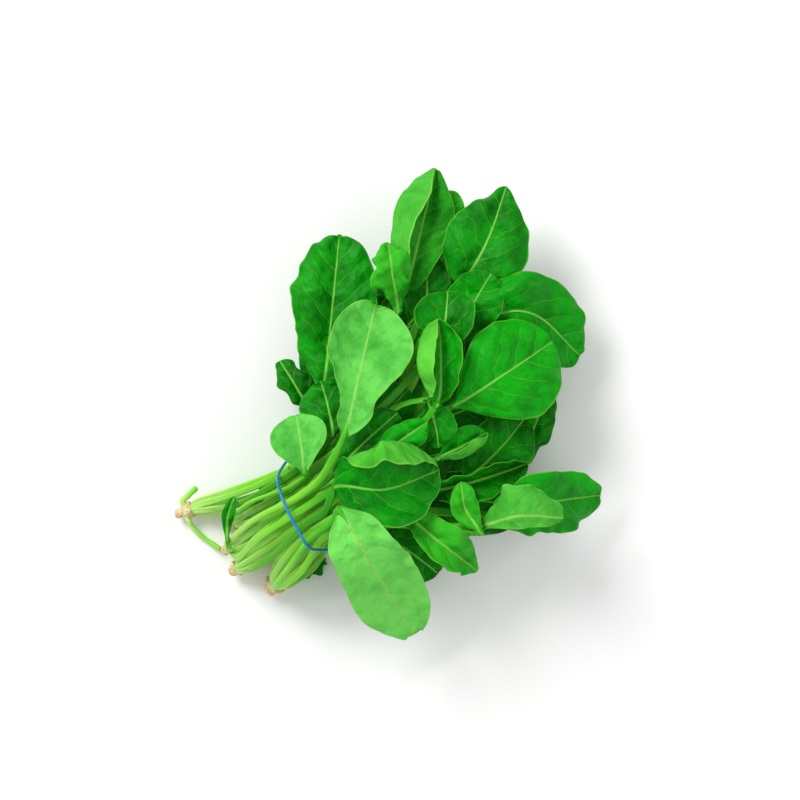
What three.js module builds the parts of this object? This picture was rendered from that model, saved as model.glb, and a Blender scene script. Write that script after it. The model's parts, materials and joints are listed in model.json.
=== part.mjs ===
// A bunch of arugula held by a blue elastic tie, lying on its side. Millimetres, +Z up.
// Each plant is a root crown with its leaves. Each leaf is one solid: a grooved petiole that runs from
// its crown through the tied neck and widens into the blade. The leaves are laid one over another, from
// the bottom of the bunch to its top, so that every blade rests on, or arches over, those under it.
import * as THREE from "three";

// ---------------------------------------------------------------- driving dimensions
const NECK = new THREE.Vector3(-41, -57, 24); // centre of the tied neck
const NECK_YAW = 33; // degrees from +X in which the petioles run through the neck
const NECK_PITCH = 18; // degrees by which they rise there
const TIE_PITCH = 20; // the tie leans back a little further than the petioles rise
const NECK_HALF_WIDTH = 22.5;
const NECK_ROWS = [5, 7, 8, 9, 8, 7, 5]; // petioles in each row through the neck, lowest row first
const NECK_ROW_STEP = 4.7;
const NECK_RUN = 13; // straight stretch after the neck

const PETIOLE_HALF_WIDTH = 2.2;
const CROWN_END_SCALE = 0.6; // how much narrower a petiole is at its crown
const BLADE_HALF_THICKNESS = 0.3;
const MIDRIB_DEPTH = 1.1; // how far the midrib stands out under the blade's base

const CROWN_STEP = 3.1; // between petioles where they leave the crown
const CROWN_GAP = 0.8;
const PETIOLE_BOW = 0.9; // how far petioles of one crown spread before they meet again in the neck

const CLEARANCE = 0.45; // between two solids that lie on each other
const TIE_AHEAD = 4; // along the neck from its centre
const TIE_RADIUS = 0.85;
const TIE_CLEARANCE = 0.9;
const TIE_STEPS = 36;
const TIE_SIDES = 6;

// Root crowns, from the upper left side of the neck round to its lower right side: where the petioles
// start, the crown's radius and length, its share of the petioles, and how its petioles sag sideways.
const CROWNS = [
  { at: [-109, -61.5, 8], radius: 4.6, length: 10, share: 7, sag: 3.5 },
  { at: [-85, -68.5, 6.5], radius: 4.6, length: 7, share: 9, sag: 0 },
  { at: [-87, -83, 12], radius: 4.4, length: 5, share: 9, sag: 0 },
  { at: [-83, -94.5, 9], radius: 4.8, length: 5.5, share: 10, sag: 0 },
  { at: [-61.5, -103.5, 9], radius: 6.4, length: 7, share: 14, sag: 0 },
];

// ---------------------------------------------------------------- leaves
const GREEN = { dark: 0x157f1c, mid: 0x1f9a26, bright: 0x3cb043, pale: 0x6cc968 };

// A leaf's blade runs from base through mid to tip. half is its half width, or [left, right], seen
// along the blade with its upper side up, and split is the share of each that lies inside the fold.
// left and right say how each half of the blade bends up, in degrees: [inner part, outer part], or two
// such pairs, for the blade's base and for its tip. roll turns the blade over about its midrib, twist
// adds a turn along it. peak is where it is widest, foot its width at its base as a share of that, and
// point sharpens its tip. via holds points that the petiole passes between the neck and the blade. A
// stiff blade keeps its shape where it lies on others.
function leaf(name, base, mid, tip, half, more = {}) {
  return {
    name, base, mid, tip,
    half: Array.isArray(half) ? half : [half, half],
    split: [0.5, 0.5],
    left: [8, 4], right: [8, 4],
    roll: 0, twist: 0, point: 0.1, peak: 0.58, foot: 0, via: [], green: GREEN.mid,
    ...more,
  };
}

// Leaves flat on the ground, then leaves that fill the bunch over them: [direction, reach, half] and
// [direction, reach, rise, half].
const GROUND_FAN = [
  [-36, 74, 15], [10, 116, 21], [44, 158, 23], [82, 130, 20], [-12, 92, 18], [27, 132, 21], [63, 170, 22],
];
const FLAT_LEAVES = 4; // of them, laid straight on the ground
const INNER_FAN = [
  [-24, 82, 12, 16], [4, 122, 14, 20], [24, 126, 16, 21], [44, 150, 18, 22], [64, 160, 18, 21],
  [88, 112, 14, 16], [16, 104, 26, 18], [36, 112, 28, 20], [56, 128, 28, 20], [76, 122, 28, 18],
  [26, 84, 38, 16], [48, 92, 40, 17], [70, 92, 40, 16],
];
const BLADE_SHARE = 0.55; // of a fan leaf's reach beyond the neck

function fanPoint(direction, distance, height) {
  const angle = THREE.MathUtils.degToRad(direction);
  return [NECK.x + distance * Math.cos(angle), NECK.y + distance * Math.sin(angle), height];
}

const groundLeaves = GROUND_FAN.map(([direction, reach, half], i) =>
  leaf(`leaf_ground_${i + 1}`,
    fanPoint(direction, reach * (1 - BLADE_SHARE), 1),
    fanPoint(direction + 2, reach * (1 - BLADE_SHARE / 2), 0),
    fanPoint(direction + 4, reach, 0), half,
    { coarse: true, flat: i < FLAT_LEAVES, left: [0, 0], right: [0, 0], green: GREEN.dark }));

const innerLeaves = INNER_FAN.map(([direction, reach, rise, half], i) =>
  leaf(`leaf_inner_${i + 1}`,
    fanPoint(direction, reach * (1 - BLADE_SHARE), rise * 0.9),
    fanPoint(direction - 3, reach * (1 - BLADE_SHARE / 2), rise + 2),
    fanPoint(direction - 6, reach, rise * 0.8), half,
    { coarse: true, left: [14, -6], right: [10, 4], green: GREEN.dark }));

const outerLeaves = [
  leaf("leaf_lobed_left", [-42, -8, 24], [-50, 8, 25], [-59, 22, 21], 9.5,
    { left: [10, -15], right: [6, -8], green: GREEN.dark }),
  leaf("leaf_top_back", [31, 74, 26], [34, 96, 32], [37, 116, 31], 10, { green: GREEN.bright }),
  leaf("leaf_left_large", [-34, 2, 32], [-29, 48, 42], [-25, 91, 36], 25,
    { left: [22, -20], right: [14, -4], peak: 0.62, foot: 0.2 }),
  leaf("leaf_top_centre", [20, 34, 28], [23, 58, 36], [22, 82, 38], 13, { green: GREEN.dark }),
  leaf("leaf_top_folded", [10, 56, 34], [20, 94, 40], [28, 127, 38], [36, 17],
    { left: [[25, 120], [22, 168]], right: [12, 6], point: 0.6, peak: 0.62, foot: 0.3, green: GREEN.bright }),
  leaf("leaf_top_right", [40, 58, 34], [56, 87, 44], [67, 118, 38], 25,
    { stiff: true, left: [22, -14], right: [16, -10], point: 0.85, peak: 0.45, foot: 0.2 }),
  leaf("leaf_crinkled", [6, 46, 44], [4, 68, 50], [2, 85, 46], 12.5,
    { left: [10, -40], right: [10, -40], roll: 8, green: GREEN.bright }),
  leaf("leaf_right_back", [42, 36, 34], [77, 48, 44], [109, 24, 24], 24,
    { left: [8, -18], right: [8, -12], foot: 0.2, green: GREEN.dark }),
  leaf("leaf_upper_inner", [38, 30, 42], [48, 52, 46], [58, 69, 46], 16,
    { left: [8, 10], right: [10, 12], green: GREEN.dark }),
  leaf("leaf_right_shadow", [68, -42, 18], [83, -15, 23], [91, 8, 24], 11,
    { left: [40, 20], right: [0, -20], green: GREEN.dark }),
  leaf("leaf_lower_inner", [40, -44, 30], [62, -28, 36], [77, -10, 36], 18, { foot: 0.2, green: GREEN.dark }),
  leaf("leaf_centre_dark", [-19, -26, 44], [-2, -10, 46], [13, 6, 46], 15, { foot: 0.2, green: GREEN.dark }),
  leaf("leaf_big_round", [36, -4, 48], [65, 14, 57], [92, 32, 46], [28, 30],
    { stiff: true, left: [8, -14], right: [8, -16], point: 0, green: GREEN.mid }),
  leaf("leaf_trough", [22, -50, 26], [50, -44, 30], [78, -35, 29], 15,
    { left: [62, 70], right: [35, 50], foot: 0.3, green: GREEN.dark }),
  leaf("leaf_right_end", [54, -62, 18], [88, -56, 24], [120, -53, 22], [19, 19],
    { left: [25, 5], right: [10, -10], foot: 0.3, green: GREEN.mid }),
  leaf("leaf_right_dome", [50, -68, 22], [72, -62, 30], [96, -64, 22], [7, 20],
    { roll: 180, left: [0, 0], right: [14, 40], peak: 0.5, green: GREEN.bright }),
  leaf("leaf_small_oval", [50, -72, 30], [43, -58, 38], [41, -44, 44], 8,
    { left: [20, 20], right: [15, 10], green: GREEN.bright }),
  leaf("leaf_small_folded", [28, -32, 44], [42, -25, 48], [55, -18, 46], [10, 14],
    { left: [10, 10], right: [30, 140], green: GREEN.mid }),
  leaf("leaf_spade", [22, 0, 54], [27, -13, 56], [29, -26, 49], 12,
    { via: [[12, 2, 46]], left: [5, -15], right: [5, -10], green: GREEN.mid }),
  leaf("leaf_arched", [30, 32, 52], [33, 46, 58], [34, 58, 56], 18,
    { left: [12, 30], right: [14, 36], peak: 0.6, foot: 0.4, green: GREEN.dark }),
  leaf("leaf_cupped", [27, -4, 54], [30, 20, 60], [29, 43, 60], [28, 15],
    { left: [[20, 120], [26, 150]], right: [26, 50], peak: 0.58, foot: 0.15, green: GREEN.mid }),
  leaf("leaf_neck_dark", [-29, -20, 38], [-31, -4, 42], [-35, 10, 38], 16,
    { left: [10, -14], right: [8, -10], green: GREEN.dark }),
  leaf("leaf_lower_pointed", [5, -60, 28], [29, -76, 26], [51, -94, 8], 13,
    { left: [16, -10], right: [30, 60], point: 0.8, foot: 0.3, green: GREEN.bright }),
  leaf("leaf_centre_cover", [-27, -39, 48], [-11, -23, 53], [7, -7, 52], 13,
    { left: [10, -12], right: [8, 20], foot: 0.3, green: GREEN.dark }),
  leaf("leaf_centre_narrow", [-10, -36, 48], [7, -23, 51], [23, -12, 49], 9,
    { left: [20, 10], right: [16, -10], foot: 0.3, green: GREEN.mid }),
  leaf("leaf_centre_pale", [-22, -20, 58], [-13, 16, 66], [-5, 52, 60], [27, 24],
    { stiff: true, roll: 180, left: [-8, -16], right: [-14, -34], peak: 0.66, foot: 0.46,
      green: GREEN.pale }),
  leaf("leaf_front_folded", [-27, -47, 40], [0, -48, 43], [29, -38, 40], [44, 23],
    { split: [0.62, 0.5], left: [[20, 120], [22, 165]], right: [10, 34], peak: 0.55, foot: 0.4,
      green: GREEN.mid }),
  leaf("leaf_front_pale", [-25, -58, 44], [-7, -88, 36], [17, -131, 8], 21,
    { stiff: true, roll: 180, left: [4, -10], right: [6, -14], peak: 0.6, foot: 0.6, green: GREEN.pale }),
  leaf("leaf_neck_pale", [-43, -39, 46], [-45, -24, 50], [-48, -8, 47], 16.5,
    { stiff: true, roll: 180, left: [-6, -10], right: [-6, -8], green: GREEN.pale }),
];

// Small leaves among the stems, which end before the neck: one on the ground, one between, one on top.
const STEM_LEAVES = [
  ["leaf_stem_ragged", [-57, -103, 2], [-51, -100, 1.6], [-43, -96, 1.6], [-34, -90, 1.6], 6.5, GREEN.dark],
  ["leaf_stem_broad", [-74, -57, 12], [-71, -56, 14], [-64, -51, 18], [-57, -46, 21], 8, GREEN.mid],
  ["leaf_stem_upright", [-86, -84, 20], [-87, -78, 24], [-87, -66, 27], [-83, -53, 27], 3.6, GREEN.mid],
];

// Cut stems without a blade at the outermost crown: the radius of each, and points along it.
const CUT_STEMS = [
  ["stem_curved", 1.35,
    [[-110.8, -68.2, 7.4], [-108, -73.2, 5], [-103, -78, 3.4], [-97.5, -81.8, 3.6], [-93.4, -84.4, 5.2]]],
  ["stem_short", 1.6,
    [[-114, -56.6, 8.5], [-111.4, -54.3, 10.2], [-108.8, -51.9, 11.9], [-106.2, -49.6, 13.6]]],
];

const [raggedLeaf, broadLeaf, uprightLeaf] = STEM_LEAVES.map(([name, attach, base, mid, tip, half, green]) =>
  leaf(name, base, mid, tip, half,
    { coarse: true, attach: new THREE.Vector3(...attach), left: [12, 10], right: [12, 10], green }));

const LEAVES = [...groundLeaves, raggedLeaf, ...innerLeaves, broadLeaf, ...outerLeaves, uprightLeaf];

// ---------------------------------------------------------------- how a leaf's sections are made
const PETIOLE_RINGS = [0, 0.25, 0.5, 0.76]; // shares of the way from the crown to the neck
const REACH_RINGS = [0, 0.38, 0.74]; // shares of the way from the neck, or from the crown, to the blade
const BLADE_RINGS = [0, 0.08, 0.18, 0.3, 0.43, 0.56, 0.69, 0.81, 0.91, 0.98];
const COARSE_BLADE_RINGS = [0, 0.12, 0.3, 0.52, 0.74, 0.91, 0.98];
const COLUMNS = [-1, -0.5, 0, 0.5, 1]; // places across the blade, from its left edge to its right edge
const STEM_RINGS = 9;
const PATH_SAMPLES = 240;

const UP = new THREE.Vector3(0, 0, 1);
const radians = THREE.MathUtils.degToRad;
const lerp = THREE.MathUtils.lerp;
const smooth = THREE.MathUtils.smoothstep;

const neckAxis = new THREE.Vector3(
  Math.cos(radians(NECK_YAW)) * Math.cos(radians(NECK_PITCH)),
  Math.sin(radians(NECK_YAW)) * Math.cos(radians(NECK_PITCH)),
  Math.sin(radians(NECK_PITCH)));
const neckSide = new THREE.Vector3().crossVectors(neckAxis, UP).normalize();
const neckUp = new THREE.Vector3().crossVectors(neckSide, neckAxis).normalize();

// Half width of the blade, as a share of its widest, at share u from its base.
function outline(u, { peak, point, foot }) {
  const widening = Math.sin((Math.PI / 2) * (u / peak)) ** 1.15;
  if (u < peak) return lerp(foot * smooth(u / peak, 0, 0.25), 1, widening);
  const left = (1 - u) / (1 - peak);
  const round = Math.sqrt(1 - (1 - left) ** 2);
  const sharp = Math.sin((Math.PI / 2) * left) ** 1.15;
  return lerp(round, sharp, point);
}

// [inner, outer] bend of one half of the blade at share u.
function bendAt(bend, u) {
  if (!Array.isArray(bend[0])) return bend;
  return [lerp(bend[0][0], bend[1][0], u), lerp(bend[0][1], bend[1][1], u)];
}

// Points and frames along the curve through the leaf's places, at fine steps.
function tracePath(spec) {
  const { attach, bow, slot } = spec;
  const throughNeck = slot ? [bow, slot, slot.clone().addScaledVector(neckAxis, NECK_RUN)] : [];
  const blade = [...spec.via, spec.base, spec.mid, spec.tip].map((p) => new THREE.Vector3(...p));
  const places = [attach, ...throughNeck, ...blade];
  const curve = new THREE.CatmullRomCurve3(places, false, "centripetal");
  const last = places.length - 1;
  const steps = [];
  let length = 0;
  for (let i = 0; i <= PATH_SAMPLES; i++) {
    const t = i / PATH_SAMPLES;
    const point = curve.getPoint(t);
    if (i > 0) length += point.distanceTo(steps[i - 1].point);
    steps.push({ t, point, length, tangent: curve.getTangent(t) });
  }
  const lengthAt = (placeIndex) => steps[Math.round((placeIndex / last) * PATH_SAMPLES)].length;
  const neck = slot ? lengthAt(2) : 0;
  const marks = { neck, base: lengthAt(last - 2), mid: lengthAt(last - 1), tip: length };

  // The blade faces up at its middle, turned by roll, and the frame is carried from there both ways.
  const middle = steps.findIndex((s) => s.length >= marks.mid);
  const facing = UP.clone().addScaledVector(steps[middle].tangent, -steps[middle].tangent.z).normalize();
  facing.applyAxisAngle(steps[middle].tangent, radians(spec.roll));
  steps[middle].normal = facing;
  for (const direction of [1, -1]) {
    for (let i = middle + direction; i >= 0 && i <= PATH_SAMPLES; i += direction) {
      const { tangent } = steps[i];
      const carried = steps[i - direction].normal.clone();
      steps[i].normal = carried.addScaledVector(tangent, -carried.dot(tangent)).normalize();
    }
  }
  return { steps, marks };
}

function frameAt(path, length) {
  const after = Math.max(1, path.steps.findIndex((s) => s.length >= length - 1e-9));
  const [a, b] = [path.steps[after - 1], path.steps[after]];
  const share = (length - a.length) / (b.length - a.length);
  return {
    point: a.point.clone().lerp(b.point, share),
    tangent: a.tangent.clone().lerp(b.tangent, share).normalize(),
    normal: a.normal.clone().lerp(b.normal, share).normalize(),
  };
}

// One section of the leaf: the upper and lower skin at each column. The edges are shared by both skins.
function section(spec, frame, u, petioleScale) {
  const inBlade = smooth(u, 0, 0.22);
  const petiole = PETIOLE_HALF_WIDTH * petioleScale;
  const turn = radians(spec.twist * (u - 0.5) * inBlade);
  const normal = frame.normal.clone().applyAxisAngle(frame.tangent, turn);
  const side = new THREE.Vector3().crossVectors(frame.tangent, normal).normalize();
  const taper = lerp(petiole, petiole * 0.45, smooth(u, 0, 1));
  const upper = [];
  const lower = [];
  COLUMNS.forEach((column, j) => {
    const hand = Math.sign(column);
    const bend = bendAt(hand < 0 ? spec.left : spec.right, u).map((d) => radians(d) * inBlade);
    const full = Math.max(taper, spec.half[hand < 0 ? 0 : 1] * outline(u, spec));
    const inner = full * spec.split[hand < 0 ? 0 : 1];
    const outer = Math.abs(column) > 0.5 ? full - inner : 0;
    const across = (inner * Math.cos(bend[0]) + outer * Math.cos(bend[1])) * hand;
    const rise = column === 0 ? 0 : inner * Math.sin(bend[0]) + outer * Math.sin(bend[1]);
    const place = frame.point.clone().addScaledVector(side, across).addScaledVector(normal, rise);
    const tilt = column === 0 ? 0 : ((bend[0] + bend[1]) / 2) * hand;
    const out = normal.clone().multiplyScalar(Math.cos(tilt)).addScaledVector(side, -Math.sin(tilt));
    if (j === 0 || j === COLUMNS.length - 1) {
      upper.push(place);
      lower.push(place.clone());
      return;
    }
    // A petiole is grooved above and round below, and the midrib carries that under the blade.
    const rib = column === 0 && !spec.flat ? MIDRIB_DEPTH * (1 - u) : 0;
    const above = lerp(petiole * (column === 0 ? 0.5 : 0.62), BLADE_HALF_THICKNESS, inBlade);
    const below = lerp(petiole * (column === 0 ? 0.95 : 0.78), BLADE_HALF_THICKNESS + rib, inBlade);
    upper.push(place.clone().addScaledVector(out, above));
    lower.push(place.clone().addScaledVector(out, -below));
  });
  return { upper, lower, u };
}

function leafSections(spec) {
  const path = tracePath(spec);
  const { neck, base, tip } = path.marks;
  const sections = [];
  if (spec.slot) {
    for (const share of PETIOLE_RINGS) {
      sections.push(section(spec, frameAt(path, neck * share), 0, lerp(CROWN_END_SCALE, 1, share)));
    }
  }
  const scale = spec.slot ? 1 : CROWN_END_SCALE;
  for (const share of REACH_RINGS) {
    sections.push(section(spec, frameAt(path, lerp(neck, base, share)), 0, scale));
  }
  for (const u of spec.coarse ? COARSE_BLADE_RINGS : BLADE_RINGS) {
    sections.push(section(spec, frameAt(path, lerp(base, tip, u)), u, scale));
  }
  return sections;
}

// ---------------------------------------------------------------- laying the leaves on each other
const CELL = 0.5;
const HALF_FIELD = 180;
const FIELD_CELLS = Math.round((2 * HALF_FIELD) / CELL);
const STEEPEST_ALONG = 0.65; // how fast the lift may change along a leaf
const STEEPEST_ACROSS = 0.5;
const heights = new Float32Array(FIELD_CELLS * FIELD_CELLS); // top of what is laid so far, from the ground up

function cellOf(p) {
  const column = Math.round((p.x + HALF_FIELD) / CELL);
  const row = Math.round((p.y + HALF_FIELD) / CELL);
  return row * FIELD_CELLS + column;
}

// Calls visit(point, k, j) at fine steps over both skins, between sections k, k+1 and columns j, j+1.
function scan(sections, visit) {
  const point = new THREE.Vector3();
  for (const skin of ["upper", "lower"]) {
    for (let k = 0; k + 1 < sections.length; k++) {
      for (let j = 0; j + 1 < COLUMNS.length; j++) {
        const [a, b] = [sections[k][skin][j], sections[k][skin][j + 1]];
        const [c, d] = [sections[k + 1][skin][j], sections[k + 1][skin][j + 1]];
        const along = Math.ceil(Math.max(a.distanceTo(c), b.distanceTo(d)) / CELL);
        const across = Math.ceil(Math.max(a.distanceTo(b), c.distanceTo(d)) / CELL);
        for (let m = 0; m <= along; m++) {
          for (let n = 0; n <= across; n++) {
            const [s, t] = [m / along, n / across];
            point.set(0, 0, 0).addScaledVector(a, (1 - s) * (1 - t)).addScaledVector(b, (1 - s) * t)
              .addScaledVector(c, s * (1 - t)).addScaledVector(d, s * t);
            visit(point, k, j);
          }
        }
      }
    }
  }
}

const bentFar = (bend) => Math.abs(bendAt(bend, 1)[1]) > 28; // such a blade is lifted whole, ring by ring

function layDown(sections, spec) {
  const lift = sections.map(() => COLUMNS.map(() => 0));
  scan(sections, (p, k, j) => {
    const need = heights[cellOf(p)] + CLEARANCE - p.z;
    for (const [kk, jj] of [[k, j], [k, j + 1], [k + 1, j], [k + 1, j + 1]]) {
      lift[kk][jj] = Math.max(lift[kk][jj], need);
    }
  });
  const gap = (k, j, kk, jj) => sections[k].upper[j].distanceTo(sections[kk].upper[jj]);
  const last = sections.length - 1;
  const stiff = spec.stiff || bentFar(spec.left) || bentFar(spec.right);
  const along = stiff ? STEEPEST_ALONG / 2 : STEEPEST_ALONG;
  for (let pass = 0; pass < 12; pass++) {
    for (let k = 0; k <= last; k++) {
      const narrow = gap(k, 0, k, COLUMNS.length - 1) < 4 * PETIOLE_HALF_WIDTH;
      if (narrow || stiff) lift[k].fill(Math.max(...lift[k]));
      for (let j = 0; j < COLUMNS.length; j++) {
        const floors = [];
        if (k > 0) floors.push(lift[k - 1][j] - along * gap(k, j, k - 1, j));
        if (k < last) floors.push(lift[k + 1][j] - along * gap(k, j, k + 1, j));
        if (j > 0) floors.push(lift[k][j - 1] - STEEPEST_ACROSS * gap(k, j, k, j - 1));
        if (j < COLUMNS.length - 1) floors.push(lift[k][j + 1] - STEEPEST_ACROSS * gap(k, j, k, j + 1));
        lift[k][j] = Math.max(lift[k][j], ...floors);
      }
    }
  }
  sections.forEach((s, k) => {
    const onGround = spec.flat && s.u > 0.2;
    COLUMNS.forEach((_, j) => {
      const edge = j === 0 || j === COLUMNS.length - 1;
      s.upper[j].z = onGround ? CLEARANCE + BLADE_HALF_THICKNESS * (edge ? 1 : 2) : s.upper[j].z + lift[k][j];
      s.lower[j].z = onGround ? CLEARANCE + BLADE_HALF_THICKNESS * (edge ? 1 : 0) : s.lower[j].z + lift[k][j];
    });
  });
  scan(sections, (p) => {
    const cell = cellOf(p);
    heights[cell] = Math.max(heights[cell], p.z);
  });
}

// ---------------------------------------------------------------- solids
// The closed surface over the sections. Each ring goes round the leaf: right edge, upper skin, left
// edge, lower skin. A patch of the lower skin is split along the same diagonal as the patch above it, so
// that the two skins stay apart where the blade twists. A point closes each end.
function leafGeometry(sections) {
  const rings = sections.map(({ upper, lower }) => [
    upper[4], upper[3], upper[2], upper[1], upper[0], lower[1], lower[2], lower[3],
  ]);
  const around = rings[0].length;
  const points = rings.flat();
  const index = (k, j) => k * around + (j % around);
  const faces = [];
  for (let k = 0; k + 1 < rings.length; k++) {
    for (let j = 0; j < around; j++) {
      const [a, b, c, d] = [index(k, j), index(k + 1, j), index(k + 1, j + 1), index(k, j + 1)];
      if (j < around / 2) {
        faces.push(a, b, c, a, c, d);
      } else {
        faces.push(a, b, d, b, c, d);
      }
    }
  }
  const middle = (ring) => ring.reduce((sum, p) => sum.add(p), new THREE.Vector3()).divideScalar(ring.length);
  const [first, last] = [rings[0], rings[rings.length - 1]];
  const before = middle(rings[rings.length - 2]);
  const apex = middle(last).addScaledVector(middle(last).sub(before).normalize(), 0.8);
  points.push(middle(first), apex);
  const [start, end] = [points.length - 2, points.length - 1];
  for (let j = 0; j < around; j++) {
    faces.push(start, index(0, j), index(0, j + 1));
    faces.push(end, index(rings.length - 1, j + 1), index(rings.length - 1, j));
  }
  const geometry = new THREE.BufferGeometry();
  geometry.setAttribute("position", new THREE.Float32BufferAttribute(points.flatMap((p) => p.toArray()), 3));
  geometry.setIndex(faces);
  geometry.computeVertexNormals();
  return geometry;
}

// The sections of a cut stem: circles square to the curve through its points.
function stemSections(points, radius) {
  const curve = new THREE.CatmullRomCurve3(points.map((p) => new THREE.Vector3(...p)), false, "centripetal");
  return Array.from({ length: STEM_RINGS }, (_, k) => {
    const place = curve.getPointAt(k / (STEM_RINGS - 1));
    const tangent = curve.getTangentAt(k / (STEM_RINGS - 1));
    const side = new THREE.Vector3().crossVectors(tangent, UP).normalize();
    const up = new THREE.Vector3().crossVectors(side, tangent);
    const at = (angle) => place.clone().addScaledVector(side, radius * Math.cos(angle))
      .addScaledVector(up, radius * Math.sin(angle));
    const upper = [4, 3, 2, 1, 0].map((eighth) => at((eighth * Math.PI) / 4));
    const lower = [4, 5, 6, 7, 8].map((eighth) => at((eighth * Math.PI) / 4));
    return { upper, lower };
  });
}

// A root crown: a turned stub with its flat front where the petioles start and its cut root behind.
function crownGeometry({ radius, length }) {
  const profile = [
    [0, -length], [radius * 0.42, -length], [radius * 0.55, -length * 0.86], [radius * 0.62, -length * 0.55],
    [radius * 0.88, -length * 0.28], [radius, -length * 0.1], [radius * 0.94, 0], [0, 0],
  ];
  return new THREE.LatheGeometry(profile.map(([r, z]) => new THREE.Vector2(r, z)), 10);
}

const tieCentre = NECK.clone().addScaledVector(neckAxis, TIE_AHEAD);
const tieNormal = neckAxis.clone().applyAxisAngle(neckSide, radians(TIE_PITCH - NECK_PITCH));
const tieUp = new THREE.Vector3().crossVectors(neckSide, tieNormal).normalize();

// Where a leaf's skin passes through the tie's plane.
function crossTie(sections) {
  const found = [];
  for (let k = 0; k + 1 < sections.length && sections[k + 1].u === 0; k++) {
    for (const skin of ["upper", "lower"]) {
      sections[k][skin].forEach((a, j) => {
        const b = sections[k + 1][skin][j];
        const da = a.clone().sub(tieCentre).dot(tieNormal);
        const db = b.clone().sub(tieCentre).dot(tieNormal);
        if (da <= 0 && db > 0) found.push(a.clone().lerp(b, da / (da - db)));
      });
    }
  }
  return found;
}

// The tie follows the outside of the petioles where they pass through its plane.
function tieGeometry(crossings) {
  const flat = crossings.map((p) => {
    const away = p.clone().sub(tieCentre);
    return new THREE.Vector2(away.dot(neckSide), away.dot(tieUp));
  });
  const centre = flat.reduce((sum, p) => sum.add(p), new THREE.Vector2()).divideScalar(flat.length);
  const route = [];
  for (let i = 0; i < TIE_STEPS; i++) {
    const angle = (i / TIE_STEPS) * 2 * Math.PI;
    const out = new THREE.Vector2(Math.cos(angle), Math.sin(angle));
    const support = Math.max(...flat.map((p) => p.clone().sub(centre).dot(out)));
    route.push({ out, support: support + TIE_RADIUS + TIE_CLEARANCE });
  }
  // Where the support lines of neighbouring directions meet lies the corner of the hull.
  const corners = route.map((a, i) => {
    const b = route[(i + 1) % TIE_STEPS];
    const det = a.out.x * b.out.y - a.out.y * b.out.x;
    const x = (a.support * b.out.y - b.support * a.out.y) / det;
    const y = (a.out.x * b.support - b.out.x * a.support) / det;
    return tieCentre.clone().addScaledVector(neckSide, x + centre.x).addScaledVector(tieUp, y + centre.y);
  });
  const loop = new THREE.CatmullRomCurve3(corners, true, "centripetal");
  const positions = [];
  const faces = [];
  const index = (i, j) => (i % TIE_STEPS) * TIE_SIDES + (j % TIE_SIDES);
  for (let i = 0; i < TIE_STEPS; i++) {
    const place = loop.getPointAt(i / TIE_STEPS);
    const tangent = loop.getTangentAt(i / TIE_STEPS);
    const outward = new THREE.Vector3().crossVectors(tangent, tieNormal).normalize();
    for (let j = 0; j < TIE_SIDES; j++) {
      const angle = (j / TIE_SIDES) * 2 * Math.PI;
      const p = place.clone().addScaledVector(outward, TIE_RADIUS * Math.cos(angle))
        .addScaledVector(tieNormal, TIE_RADIUS * Math.sin(angle));
      positions.push(...p.toArray());
      faces.push(index(i, j), index(i + 1, j), index(i + 1, j + 1));
      faces.push(index(i, j), index(i + 1, j + 1), index(i, j + 1));
    }
  }
  const geometry = new THREE.BufferGeometry();
  geometry.setAttribute("position", new THREE.Float32BufferAttribute(positions, 3));
  geometry.setIndex(faces);
  geometry.computeVertexNormals();
  return geometry;
}

// ---------------------------------------------------------------- places in the neck and at the crowns
function directionOf(spec) {
  const [x, y] = spec.via[0] ?? spec.mid;
  return new THREE.Vector3(x, y, 0).sub(NECK).setZ(0).normalize().dot(neckSide);
}

// Gives every leaf its place in the neck: the rows fill from the lowest leaf up, and within a row the
// leaves stand in the order in which they fan out.
function placeInNeck(specs) {
  let next = 0;
  NECK_ROWS.forEach((count, row) => {
    const members = specs.slice(next, next + count).sort((a, b) => directionOf(a) - directionOf(b));
    next += count;
    const height = (row - (NECK_ROWS.length - 1) / 2) * NECK_ROW_STEP;
    const reach = NECK_HALF_WIDTH * Math.sqrt(1 - (height / (NECK_ROWS.length * NECK_ROW_STEP * 0.56)) ** 2);
    members.forEach((spec, i) => {
      const side = members.length > 1 ? lerp(-reach, reach, i / (members.length - 1)) : 0;
      spec.row = row;
      spec.side = side;
      spec.slot = NECK.clone().addScaledVector(neckSide, side).addScaledVector(neckUp, height);
    });
  });
}

// Shares the leaves out to the crowns from side to side, and stacks each crown's petioles in a square.
function placeAtCrowns(specs) {
  const bySide = [...specs].sort((a, b) => a.side - b.side);
  const total = CROWNS.reduce((sum, crown) => sum + crown.share, 0);
  let shared = 0;
  for (const crown of CROWNS) {
    const first = Math.round((shared * specs.length) / total);
    shared += crown.share;
    const members = bySide.slice(first, Math.round((shared * specs.length) / total));
    crown.position = new THREE.Vector3(...crown.at);
    const meeting = members.reduce((sum, s) => sum.add(s.slot), new THREE.Vector3());
    meeting.divideScalar(members.length);
    crown.axis = meeting.sub(crown.position).normalize();
    const side = new THREE.Vector3().crossVectors(crown.axis, UP).normalize();
    const up = new THREE.Vector3().crossVectors(side, crown.axis);
    const levels = Math.round(Math.sqrt(members.length));
    const byHeight = members.sort((a, b) => a.slot.z - b.slot.z);
    for (let level = 0; level < levels; level++) {
      const cut = (share) => Math.round((share * byHeight.length) / levels);
      const group = byHeight.slice(cut(level), cut(level + 1)).sort((a, b) => a.side - b.side);
      group.forEach((spec, i) => {
        const across = (i - (group.length - 1) / 2) * CROWN_STEP;
        const above = (level - (levels - 1) / 2) * CROWN_STEP;
        spec.attach = crown.position.clone().addScaledVector(side, across).addScaledVector(up, above)
          .addScaledVector(crown.axis, CROWN_GAP);
        spec.bow = spec.attach.clone().lerp(spec.slot, 0.48)
          .addScaledVector(side, across * PETIOLE_BOW + crown.sag).addScaledVector(up, above * PETIOLE_BOW);
      });
    }
  }
}

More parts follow.
